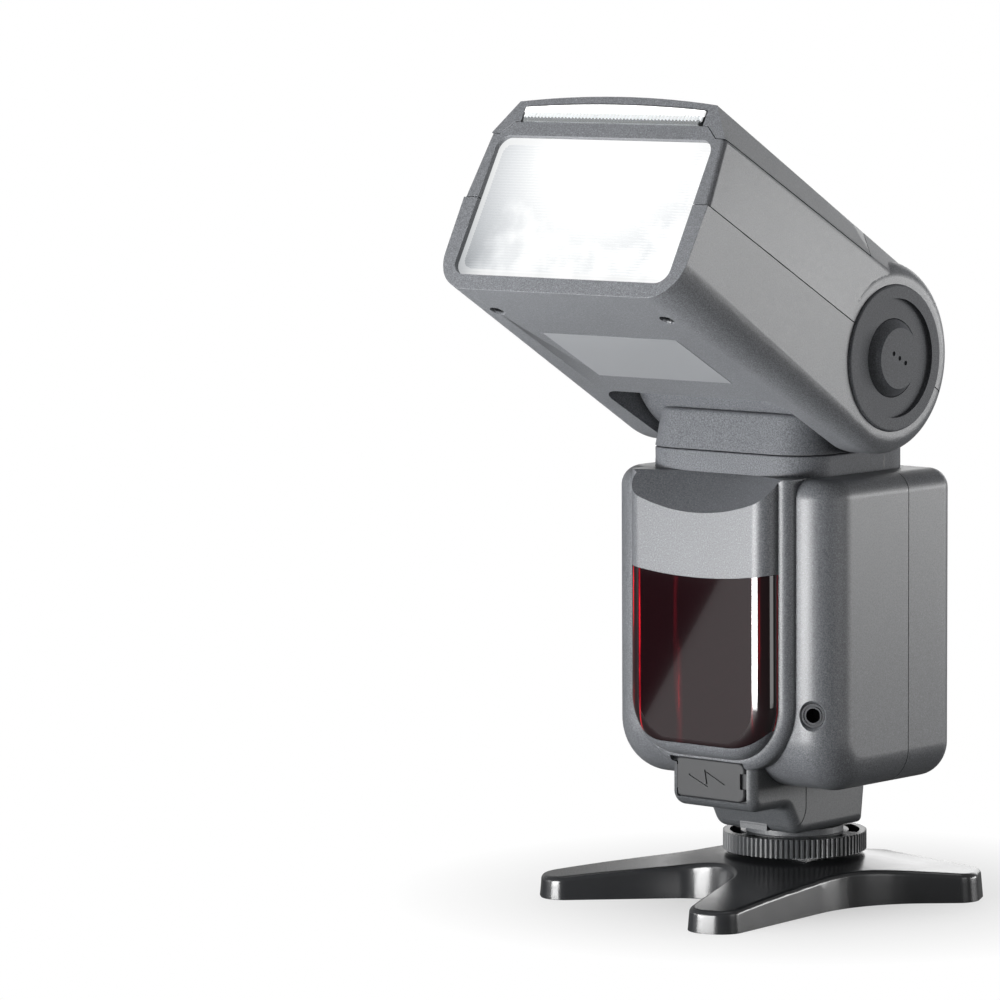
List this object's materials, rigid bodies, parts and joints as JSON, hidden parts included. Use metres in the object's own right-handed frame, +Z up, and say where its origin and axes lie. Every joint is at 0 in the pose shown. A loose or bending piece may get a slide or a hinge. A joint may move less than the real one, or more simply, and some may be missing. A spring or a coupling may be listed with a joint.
{
  "type": "speedlight flash",
  "caption": "Shoe-mount photo flash with tilting, swivelling zoom head, pull-out wide panel and card, red front lens and sliding battery door, on a small legged table stand.",
  "frame": {"origin": "on the ground at the axis of the stand's tripod thread and shoe", "axes": "+Z up, the red lens faces -Y, the battery door is on the -X side"},
  "size_m": [0.0898, 0.1301, 0.1975],
  "materials": {
    "stand_plastic": "polished black moulding",
    "body_plastic": "fine spark-eroded texture",
    "rim_plastic": "semi-gloss",
    "foot_plastic": "satin",
    "red_lens": "polished, dark red",
    "rubber": "matt",
    "ring_plastic": "knurled",
    "window_plastic": "ribbed, clear",
    "clear_plastic": "patterned, clear",
    "card_plastic": "white",
    "button_plastic": "satin grey",
    "display_plastic": "clear window",
    "nickel": "plated",
    "steel": "turned",
    "black_steel": "blackened",
    "brass": "turned",
    "board": "solder mask",
    "capacitor_sleeve": "shrunk sleeve",
    "reflector_metal": "bright",
    "tube_glass": "clear",
    "label_film": "bare satin film"
  },
  "bodies": {
    "stand": {"stand_base": "stand_plastic", "stand_shoe": "stand_plastic", "shoe_screws": "black_steel", "tripod_bush": "brass"},
    "flash": {"mounting_foot": "foot_plastic", "foot_screws": "nickel", "foot_housing_front": "foot_plastic", "foot_housing_rear": "foot_plastic", "power_socket": "foot_plastic", "front_shell": "body_plastic", "rear_shell": "body_plastic", "case_screws": "black_steel", "red_lens": "red_lens", "sync_socket": "nickel", "sensor_board": "board", "assist_lamps": "clear_plastic", "battery_cradle": "foot_plastic", "battery_springs": "nickel", "main_board": "board", "capacitor": "capacitor_sleeve", "control_board": "board", "control_panel": "rim_plastic", "display_window": "display_plastic", "neck_ring": "body_plastic"},
    "lock_ring": {"lock_ring": "ring_plastic"},
    "lock_pin": {"lock_pin": "steel"},
    "contacts": {"contact_pins": "nickel"},
    "socket_cover": {"socket_cover": "rubber"},
    "door_slider": {"door_hinge": "steel"},
    "door": {"battery_door": "body_plastic", "door_contacts": "nickel"},
    "key_1": {"key_1": "button_plastic"},
    "key_2": {"key_2": "button_plastic"},
    "key_3": {"key_3": "button_plastic"},
    "key_4": {"key_4": "button_plastic"},
    "select_pad": {"select_pad": "button_plastic"},
    "set_button": {"set_button": "button_plastic"},
    "pilot_button": {"pilot_button": "clear_plastic"},
    "power_switch": {"power_switch": "button_plastic"},
    "turret": {"swivel_yoke": "body_plastic", "tilt_sleeves": "steel", "swivel_retainer": "foot_plastic"},
    "head": {"head_lower_shell": "body_plastic", "head_upper_shell": "body_plastic", "head_top_cover": "body_plastic", "fresnel_window": "window_plastic", "pivot_disc_left": "body_plastic", "pivot_disc_right": "body_plastic", "guide_rods": "steel", "zoom_motor": "steel", "head_screws": "black_steel", "label_plate": "label_film"},
    "tilt_release": {"release_button": "body_plastic"},
    "wide_panel": {"wide_panel": "clear_plastic"},
    "bounce_card": {"bounce_card": "card_plastic"},
    "zoom": {"zoom_carriage": "foot_plastic", "reflector": "reflector_metal", "flash_tube": "tube_glass"},
    "lead_screw": {"lead_screw": "steel"}
  },
  "joints": [
    {"name": "shoe_slide", "type": "slide", "parent": "stand", "child": "flash", "axis": [0, 1, 0], "range_m": [0, 0.022]},
    {"name": "lock_ring_turn", "type": "hinge", "parent": "flash", "child": "lock_ring", "pos_m": [0, 0, 0.0134], "axis": [0, 0, 1], "range_deg": [0, 90]},
    {"name": "lock_pin_drop", "type": "slide", "parent": "flash", "child": "lock_pin", "axis": [0, 0, -1], "range_m": [0, 0.0015]},
    {"name": "contact_press", "type": "slide", "parent": "flash", "child": "contacts", "axis": [0, 0, 1], "range_m": [0, 0.0005], "stiffness_N_per_m": 400, "springref_m": -0.0003},
    {"name": "cover_swing", "type": "hinge", "parent": "flash", "child": "socket_cover", "pos_m": [-0.00985, -0.0322, 0.0318], "axis": [0, 0, -1], "range_deg": [0, 110]},
    {"name": "door_slide", "type": "slide", "parent": "flash", "child": "door_slider", "axis": [0, 0, -1], "range_m": [0, 0.003]},
    {"name": "door_swing", "type": "hinge", "parent": "door_slider", "child": "door", "pos_m": [-0.0341, -0.0028, 0.0412], "axis": [0, -1, 0], "range_deg": [0, 105]},
    {"name": "key_1_press", "type": "slide", "parent": "flash", "child": "key_1", "axis": [0, -1, 0], "range_m": [0, 0.0005], "stiffness_N_per_m": 400, "springref_m": -0.0005},
    {"name": "key_2_press", "type": "slide", "parent": "flash", "child": "key_2", "axis": [0, -1, 0], "range_m": [0, 0.0005], "stiffness_N_per_m": 400, "springref_m": -0.0005},
    {"name": "key_3_press", "type": "slide", "parent": "flash", "child": "key_3", "axis": [0, -1, 0], "range_m": [0, 0.0005], "stiffness_N_per_m": 400, "springref_m": -0.0005},
    {"name": "key_4_press", "type": "slide", "parent": "flash", "child": "key_4", "axis": [0, -1, 0], "range_m": [0, 0.0005], "stiffness_N_per_m": 400, "springref_m": -0.0005},
    {"name": "select_pad_press", "type": "slide", "parent": "flash", "child": "select_pad", "axis": [0, -1, 0], "range_m": [0, 0.0005], "stiffness_N_per_m": 400, "springref_m": -0.0005},
    {"name": "set_button_press", "type": "slide", "parent": "flash", "child": "set_button", "axis": [0, -1, 0], "range_m": [0, 0.0005], "stiffness_N_per_m": 400, "springref_m": -0.0005},
    {"name": "pilot_button_press", "type": "slide", "parent": "flash", "child": "pilot_button", "axis": [0, -1, 0], "range_m": [0, 0.0005], "stiffness_N_per_m": 400, "springref_m": -0.0005},
    {"name": "power_switch_slide", "type": "slide", "parent": "flash", "child": "power_switch", "axis": [0, 0, 1], "range_m": [0, 0.005]},
    {"name": "head_swivel", "type": "hinge", "parent": "flash", "child": "turret", "pos_m": [0, -0.0067, 0.1112], "axis": [0, 0, 1], "range_deg": [-90, 180]},
    {"name": "head_tilt", "type": "hinge", "parent": "turret", "child": "head", "pos_m": [0, -0.0093, 0.1344], "axis": [-1, 0, 0], "range_deg": [-35.8, 61.2]},
    {"name": "tilt_release_press", "type": "slide", "parent": "head", "child": "tilt_release", "axis": [-1, 0, 0], "range_m": [0, 0.0015], "stiffness_N_per_m": 500, "springref_m": -0.0005},
    {"name": "wide_panel_slide", "type": "slide", "parent": "head", "child": "wide_panel", "axis": [0, -0.8763, 0.4818], "range_m": [0, 0.035]},
    {"name": "bounce_card_slide", "type": "slide", "parent": "head", "child": "bounce_card", "axis": [0, -0.8763, 0.4818], "range_m": [0, 0.035]},
    {"name": "zoom_slide", "type": "slide", "parent": "head", "child": "zoom", "axis": [0, 0.8763, -0.4818], "range_m": [0, 0.022]},
    {"name": "lead_screw_turn", "type": "hinge", "parent": "head", "child": "lead_screw", "pos_m": [0.0316, -0.04339, 0.15542], "axis": [0, -0.8763, 0.4818], "range_deg": [0, 1800]}
  ],
  "couplings": [
    {"joint": "lock_pin_drop", "follows": "lock_ring_turn", "m_per_rad": 0.00095493},
    {"joint": "lead_screw_turn", "follows": "zoom_slide", "rad_per_m": 1428}
  ]
}
